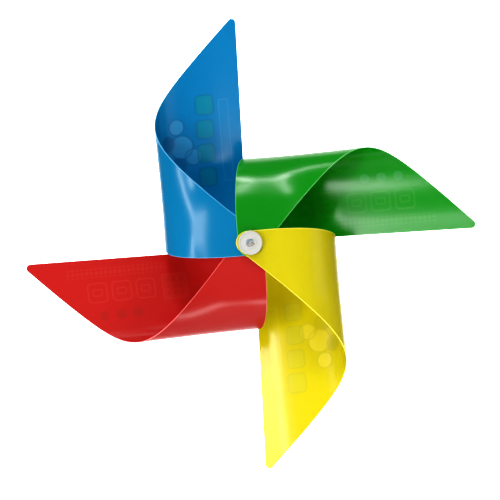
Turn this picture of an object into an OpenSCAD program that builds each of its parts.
// Four-colour pinwheel head. Each sail is one flat sheet, curled so that its far
// corner meets its near corner on the hub. The head faces -Y, up is +Z, and the
// origin is on the shoulder where the axle peg meets its stick.

/* [Sails] */
// Length of the two equal edges of a flat sail
leg = 120; // [110:1:130]
// Thickness of the sheet
sheet_t = 0.4; // [0.3:0.05:0.4]
// Distance from the near hole to the long free edge
free_edge_in = 1.5; // [1:0.1:2]
// Distance from the near hole to the curled edge
curl_edge_up = 6.2; // [6:0.1:6.6]
// Distance from the far hole to the two edges of its corner
far_hole_in = 6.6; // [6.4:0.1:6.8]
// Radius of the rounded far corner
lobe_r = 6.2; // [6:0.1:6.4]
// Radius of the round ear at the near corner
ear_r = 6.6; // [6.6:0.1:7]
// Radius of the rounded free tip
tip_r = 2.1; // [1.5:0.1:3]
// Turn of every sail about the hub, degrees
sail_turn = 4.2; // [3:0.1:5]
// Extra turn of the red sail, which hangs a little loose, degrees
red_slack = 1.6; // [0:0.1:1.6]

/* [Curl] */
// Angle between the rulings of the curl and the free edge, degrees
ruling_turn = 1; // [0.8:0.1:1.2]
// Angle of the sheet on both sides of the curl, degrees
curl_angle = 78.6; // [77:0.1:80]
// How tight the curl is
curl_tight = 2.83; // [2.7:0.01:3]
// Flat length beside each hole, before the curl starts
flat_end = 7; // [6:0.5:8]
// Height above the hub where a sail starts to lean forward
lean_start = 5.4; // [5:0.1:6]
// Height above the hub where a sail has its full lean
lean_end = 41; // [38:1:44]
// Radius of the flat stack of sheets round the hub
stack_flat_r = 16.5; // [16.5:0.5:18]
// Radius at which the sails are free of the hub
stack_free_r = 38; // [36:1:40]

/* [Hub] */
// Outer diameter of the front ring
ring_d = 12; // [11.6:0.1:12.4]
// Diameter of the hole in the front ring
ring_hole_d = 4.2; // [4:0.1:4.4]
// Thickness of the front ring
ring_t = 2.2; // [1.8:0.1:2.6]
// Outer diameter of the hub tube
tube_d = 10.4; // [10.2:0.1:10.6]
// Bore of the hub tube, which takes the collar of the front ring
tube_bore_d = 7; // [6.8:0.1:7]
// Diameter of the flanges that clamp the sheets
flange_d = 12.4; // [12:0.1:13]
// Thickness of those flanges
flange_t = 1.2; // [1:0.1:1.5]
// Diameter of the three studs through the ears
stud_d = 1.4; // [1.2:0.1:1.4]
// Gap between two sheets in a stack
stack_gap = 0.04; // [0.03:0.01:0.06]

/* [Axle] */
// Diameter of the journal that the head turns on
journal_d = 2.4; // [2.2:0.1:2.4]
// Radial clearance of the head on its journal
run_clear = 0.05; // [0.03:0.01:0.08]
// Diameter of the snap head that keeps the pinwheel on
snap_d = 3.1; // [3:0.1:3.2]
// Diameter of the shoulder that meets the stick
shoulder_d = 8; // [7:0.5:9]
// Thickness of the shoulder
shoulder_t = 1.5; // [1.2:0.1:2]
// Diameter of the stub that goes into the stick
stub_d = 4; // [3.5:0.1:4.5]
// Length of that stub
stub_len = 8; // [6:0.5:10]

/* [Hidden] */
ROUND = 72;

BLUE = [0.00, 0.44, 0.70];
GREEN = [0.07, 0.52, 0.12];
YELLOW = [0.86, 0.80, 0.06];
RED = [0.74, 0.11, 0.12];
RING_WHITE = [0.86, 0.85, 0.82];
PEG_GREY = [0.55, 0.56, 0.57];

// ---- flat pattern: u runs along the curled edge, w along the free edge ----
corner_fit = 1 + sqrt(2); // centre of an arc in a 45 degree corner, in radii
u_far = free_edge_in + leg - far_hole_in * corner_fit;
w_far = curl_edge_up + far_hole_in;
lobe_u = free_edge_in + leg - lobe_r * corner_fit;
lobe_w = curl_edge_up + lobe_r;
tip_u = free_edge_in + tip_r;
tip_w = curl_edge_up + leg - tip_r * corner_fit;
neck_u = ear_r + curl_edge_up;
shoulder_u = -ear_r * cos(45);
shoulder_w = ear_r * sin(45);

// s runs across the rulings, v along them
function ruled_s(u, w) = u * cos(ruling_turn) - w * sin(ruling_turn);
function ruled_v(u, w) = u * sin(ruling_turn) + w * cos(ruling_turn);
s_far = ruled_s(u_far, w_far);
v_far = ruled_v(u_far, w_far);

// ---- profile of the curl ----
function clamp(x, lo, hi) = min(max(x, lo), hi);
function smooth(x) = let (t = clamp(x, 0, 1)) t * t * (3 - 2 * t);
function tanh(x) = 1 - 2 / (exp(2 * x) + 1);
function slope(s) =
    let (q = clamp((s - s_far / 2) / (s_far / 2 - flat_end), -1, 1))
    curl_angle * tanh(curl_tight * q) / tanh(curl_tight) + (90 - curl_angle) * pow(q, 3);

PROFILE_STEPS = 240;
step_s = (s_far - 2 * flat_end) / PROFILE_STEPS;
profile = [
    for (
        i = 0, s = flat_end, x = -flat_end, z = 0;
        i <= PROFILE_STEPS;
        x = x + step_s * sin(slope(s + step_s / 2)),
        z = z + step_s * cos(slope(s + step_s / 2)),
        s = s + step_s,
        i = i + 1
    ) [s, x, z]
];
side_table = [for (p = profile) [p[0], p[1]]];
depth_table = [for (p = profile) [p[0], p[2]]];
curl_depth = profile[PROFILE_STEPS][2];

function side_at(s) =
    s < flat_end ? -s
    : s > s_far - flat_end ? s - s_far
    : lookup(s, side_table);
function depth_at(s) = lookup(clamp(s, flat_end, s_far - flat_end), depth_table);

// ---- the leaning, curled sheet ----
lean = atan2(v_far, curl_depth);
hub_gap = curl_depth / cos(lean);
lean_run = lean_end - lean_start;

// Height after a soft bend: zero up to lean_start, then rising one to one
function bent(y) =
    y < lean_start ? 0
    : y > lean_end ? y - (lean_start + lean_end) / 2
    : pow(y - lean_start, 2) / (2 * lean_run);

function mid_point(s, v, back, front) =
    let (
        x = side_at(s),
        d = depth_at(s),
        y = v * cos(lean) - d * sin(lean),
        rest = s < s_far / 2 ? 0 : hub_gap,
        z = d / cos(lean) + bent(y) * tan(lean),
        free = smooth((norm([x, y]) - stack_flat_r) / (stack_free_r - stack_flat_r)),
        layer = back + (front - back) * smooth((s / s_far - 0.25) * 2)
    )
    [x, y, stack_z + layer + rest + (z - rest) * free];

DIFF = 0.05;
function unit(a) = a / norm(a);
function skin_point(s, v, back, front, half_t) =
    let (
        ds = mid_point(s + DIFF, v, back, front) - mid_point(s - DIFF, v, back, front),
        dv = mid_point(s, v + DIFF, back, front) - mid_point(s, v - DIFF, back, front)
    )
    mid_point(s, v, back, front) + half_t * unit(cross(ds, dv));

// ---- levels of the stacks ----
pitch = sheet_t + stack_gap;
stack_half = 2 * sheet_t + 2 * stack_gap;
bush_gap = 0.4;
boss_len = 2.2;
bush_z = shoulder_t + bush_gap;
flange_z = bush_z + boss_len;
stack_z = flange_z + flange_t + stack_half;
front_z = stack_z + hub_gap;
tube_z = stack_z + stack_half;
tube_len = hub_gap - 2 * stack_half;

// ---- mesh of one sail: an ear block below, the triangle above it ----
EAR_COLS = 7;
CURL_COLS = 40;
ROWS = 20;
tip_cols = [for (a = [0, 30, 60, 90, 135]) tip_u - tip_r * cos(a)];
neck_cols = [for (i = [1 : 3]) tip_cols[4] + (neck_u - tip_cols[4]) * i / 3];
curl_cols = [for (i = [1 : CURL_COLS]) neck_u + (lobe_u - neck_u) * i / CURL_COLS];
lobe_cols = [for (a = [15, 30, 45, 60, 72, 82]) lobe_u + lobe_r * sin(a)];
cols = concat(tip_cols, neck_cols, curl_cols, lobe_cols);
last_col = len(cols) - 1;

function arc_w(u, centre_u, r) = sqrt(max(0, r * r - pow(u - centre_u, 2)));
function low_w(u) = u < lobe_u ? curl_edge_up : lobe_w - arc_w(u, lobe_u, lobe_r);
function high_w(u) =
    u < tip_u + tip_r * cos(45) ? tip_w + arc_w(u, tip_u, tip_r)
    : u > lobe_u + lobe_r * cos(45) ? lobe_w + arc_w(u, lobe_u, lobe_r)
    : curl_edge_up + leg - (u - free_edge_in);

ear_rows = concat(
    [for (a = [10 : 16 : 90]) -ear_r * cos(a)],
    [for (a = [0 : 15 : 75]) curl_edge_up * sin(a)]
);
ear_row_count = len(ear_rows);
function ear_low_u(w) =
    w < shoulder_w ? -arc_w(w, 0, ear_r)
    : shoulder_u + (free_edge_in - shoulder_u) * (w - shoulder_w) / (curl_edge_up - shoulder_w);
function ear_high_u(w) =
    w < 0 ? arc_w(w, 0, ear_r) : neck_u - arc_w(w, 0, curl_edge_up);

ear_flat = [
    for (w = ear_rows)
        for (j = [0 : EAR_COLS])
            let (
                f = (cols[j] - cols[0]) / (cols[EAR_COLS] - cols[0]),
                u = ear_low_u(w) + (ear_high_u(w) - ear_low_u(w)) * f
            )
            [u, w]
];
sail_flat = [
    for (u = cols)
        for (r = [0 : ROWS])
            [u, low_w(u) + (high_w(u) - low_w(u)) * r / ROWS]
];
flat_points = concat(ear_flat, sail_flat);
skin_count = len(flat_points);

function sail_id(c, r) = ear_row_count * (EAR_COLS + 1) + c * (ROWS + 1) + r;
function ear_id(i, j) = i < ear_row_count ? i * (EAR_COLS + 1) + j : sail_id(j, 0);

quads = concat(
    [
        for (i = [0 : ear_row_count - 1])
            for (j = [0 : EAR_COLS - 1])
                [ear_id(i, j), ear_id(i + 1, j), ear_id(i + 1, j + 1), ear_id(i, j + 1)]
    ],
    [
        for (c = [0 : last_col - 1])
            for (r = [0 : ROWS - 1])
                [sail_id(c, r), sail_id(c, r + 1), sail_id(c + 1, r + 1), sail_id(c + 1, r)]
    ]
);
outline = concat(
    [for (i = [0 : ear_row_count - 1]) ear_id(i, 0)],
    [for (r = [0 : ROWS]) sail_id(0, r)],
    [for (c = [1 : last_col]) sail_id(c, ROWS)],
    [for (r = [ROWS - 1 : -1 : 0]) sail_id(last_col, r)],
    [for (c = [last_col - 1 : -1 : EAR_COLS]) sail_id(c, 0)],
    [for (i = [ear_row_count - 1 : -1 : 0]) ear_id(i, EAR_COLS)],
    [for (j = [EAR_COLS - 1 : -1 : 1]) ear_id(0, j)]
);
n_out = len(outline);
sail_faces = concat(
    [for (q = quads) [q[0], q[1], q[2]]],
    [for (q = quads) [q[0], q[2], q[3]]],
    [for (q = quads) [q[2] + skin_count, q[1] + skin_count, q[0] + skin_count]],
    [for (q = quads) [q[3] + skin_count, q[2] + skin_count, q[0] + skin_count]],
    [
        for (i = [0 : n_out - 1])
            let (a = outline[i], b = outline[(i + 1) % n_out])
            [a, a + skin_count, b + skin_count]
    ],
    [
        for (i = [0 : n_out - 1])
            let (a = outline[i], b = outline[(i + 1) % n_out])
            [a, b + skin_count, b]
    ]
);

module curled_sheet(back, front) {
    points = [
        for (half_t = [sheet_t / 2, -sheet_t / 2])
            for (p = flat_points)
                skin_point(ruled_s(p[0], p[1]), ruled_v(p[0], p[1]), back, front, half_t)
    ];
    polyhedron(points = points, faces = sail_faces, convexity = 8);
}

// ---- hub holes and studs ----
STUDS = 3;
stud_ring_r = 4.4;
stud_clear = 0.1;
collar_clear = 0.1;
module at_studs() {
    for (i = [0 : STUDS - 1])
        rotate([0, 0, 90 + i * 360 / STUDS])
            translate([stud_ring_r, 0, 0])
                children();
}

// Turns a part drawn with its axis on Z so that it faces -Y
module facing_front() {
    rotate([90, 0, 0])
        children();
}

// One sail: order is its place round the hub, the layers count from the rear
module sail(order, slack, back_layer, front_layer, hole_x, hole_y, hole_r) {
    back = (back_layer - 1.5) * pitch;
    front = (front_layer - 1.5) * pitch;
    reach = pitch;
    facing_front()
        difference() {
            rotate([0, 0, sail_turn + slack - 90 * order])
                curled_sheet(back, front);
            translate([hole_x, hole_y, stack_z + back - reach])
                cylinder(h = 2 * reach, r = hole_r, $fn = ROUND);
            translate([0, 0, stack_z + back - reach])
                at_studs()
                    cylinder(h = 2 * reach, d = stud_d + 2 * stud_clear, $fn = ROUND);
            translate([0, 0, front_z + front - reach])
                cylinder(h = 2 * reach, d = tube_bore_d + 2 * collar_clear, $fn = ROUND);
        }
}

// ---- the four sails ----
module blade_blue() {
    color(BLUE)
        sail(0, 0, 3, 1, 0.35, 0.15, 2.05);
}

module blade_green() {
    color(GREEN)
        sail(1, 0, 2, 2, 0.3, -0.1, 2);
}

module blade_yellow() {
    color(YELLOW)
        sail(2, 0, 0, 3, 0, 0, 1.85);
}

module blade_red() {
    color(RED)
        sail(3, red_slack, 1, 0, 0, 0, 1.85);
}

// ---- hub ----
rim_w = 0.9;
rim_h = 0.5;
rim_round = 0.25;
collar_len = 3.5;
ring_z = front_z + stack_half;
gate_d = 0.9;
gate_out = 0.5;

// Section of the front ring: a dished face between two rounded rims
module ring_section() {
    inner = ring_hole_d / 2;
    outer = ring_d / 2;
    face = ring_t - rim_h;
    difference() {
        union() {
            translate([inner, 0])
                square([outer - inner, ring_t - rim_round]);
            translate([inner + rim_round, 0])
                square([outer - inner - 2 * rim_round, ring_t]);
            translate([inner + rim_round, ring_t - rim_round])
                circle(r = rim_round, $fn = 24);
            translate([outer - rim_round, ring_t - rim_round])
                circle(r = rim_round, $fn = 24);
            translate([inner, -collar_len])
                square([tube_bore_d / 2 - inner, collar_len]);
        }
        translate([inner + rim_w, face])
            square([outer - inner - 2 * rim_w, ring_t]);
    }
}

module front_ring() {
    color(RING_WHITE)
        facing_front()
            translate([0, 0, ring_z])
                union() {
                    rotate_extrude($fn = ROUND)
                        ring_section();
                    translate([0, ring_d / 2 - gate_out, gate_d / 2])
                        rotate([-90, 0, 0])
                            cylinder(h = 2 * gate_out, d = gate_d, $fn = 24);
                }
}

module hub_tube() {
    color(RING_WHITE)
        facing_front()
            translate([0, 0, tube_z])
                difference() {
                    union() {
                        cylinder(h = tube_len, d = tube_d, $fn = ROUND);
                        cylinder(h = flange_t, d = flange_d, $fn = ROUND);
                        translate([0, 0, tube_len - flange_t])
                            cylinder(h = flange_t, d = flange_d, $fn = ROUND);
                    }
                    translate([0, 0, -1])
                        cylinder(h = tube_len + 2, d = tube_bore_d, $fn = ROUND);
                    translate([0, 0, -stud_reach])
                        at_studs()
                            cylinder(h = 2 * stud_reach, d = stud_d, $fn = ROUND);
                }
}

stud_reach = 2;
boss_d = 6.4;
module rear_bush() {
    color(RING_WHITE)
        facing_front()
            translate([0, 0, bush_z])
                difference() {
                    union() {
                        cylinder(h = boss_len + flange_t, d = boss_d, $fn = ROUND);
                        translate([0, 0, boss_len])
                            cylinder(h = flange_t, d = flange_d, $fn = ROUND);
                        translate([0, 0, boss_len])
                            at_studs()
                                cylinder(
                                    h = flange_t + 2 * stack_half + stud_reach,
                                    d = stud_d,
                                    $fn = ROUND
                                );
                    }
                    translate([0, 0, -1])
                        cylinder(
                            h = boss_len + flange_t + 2,
                            d = journal_d + 2 * run_clear,
                            $fn = ROUND
                        );
                }
}

// ---- axle ----
snap_gap = 0.3;
snap_len = 1.6;
snap_round = 0.4;
stub_lead = 0.4;
module axle_peg() {
    snap_z = bush_z + boss_len + flange_t + snap_gap;
    color(PEG_GREY)
        facing_front()
            rotate_extrude($fn = ROUND)
                union() {
                    polygon([
                        [0, -stub_len],
                        [stub_d / 2 - stub_lead, -stub_len],
                        [stub_d / 2, -stub_len + stub_lead],
                        [stub_d / 2, 0],
                        [shoulder_d / 2, 0],
                        [shoulder_d / 2, shoulder_t],
                        [journal_d / 2, shoulder_t],
                        [journal_d / 2, snap_z],
                        [snap_d / 2, snap_z],
                        [snap_d / 2, snap_z + snap_len - snap_round],
                        [snap_d / 2 - snap_round, snap_z + snap_len],
                        [0, snap_z + snap_len]
                    ]);
                }
}

blade_blue();
blade_green();
blade_yellow();
blade_red();
front_ring();
hub_tube();
rear_bush();
axle_peg();
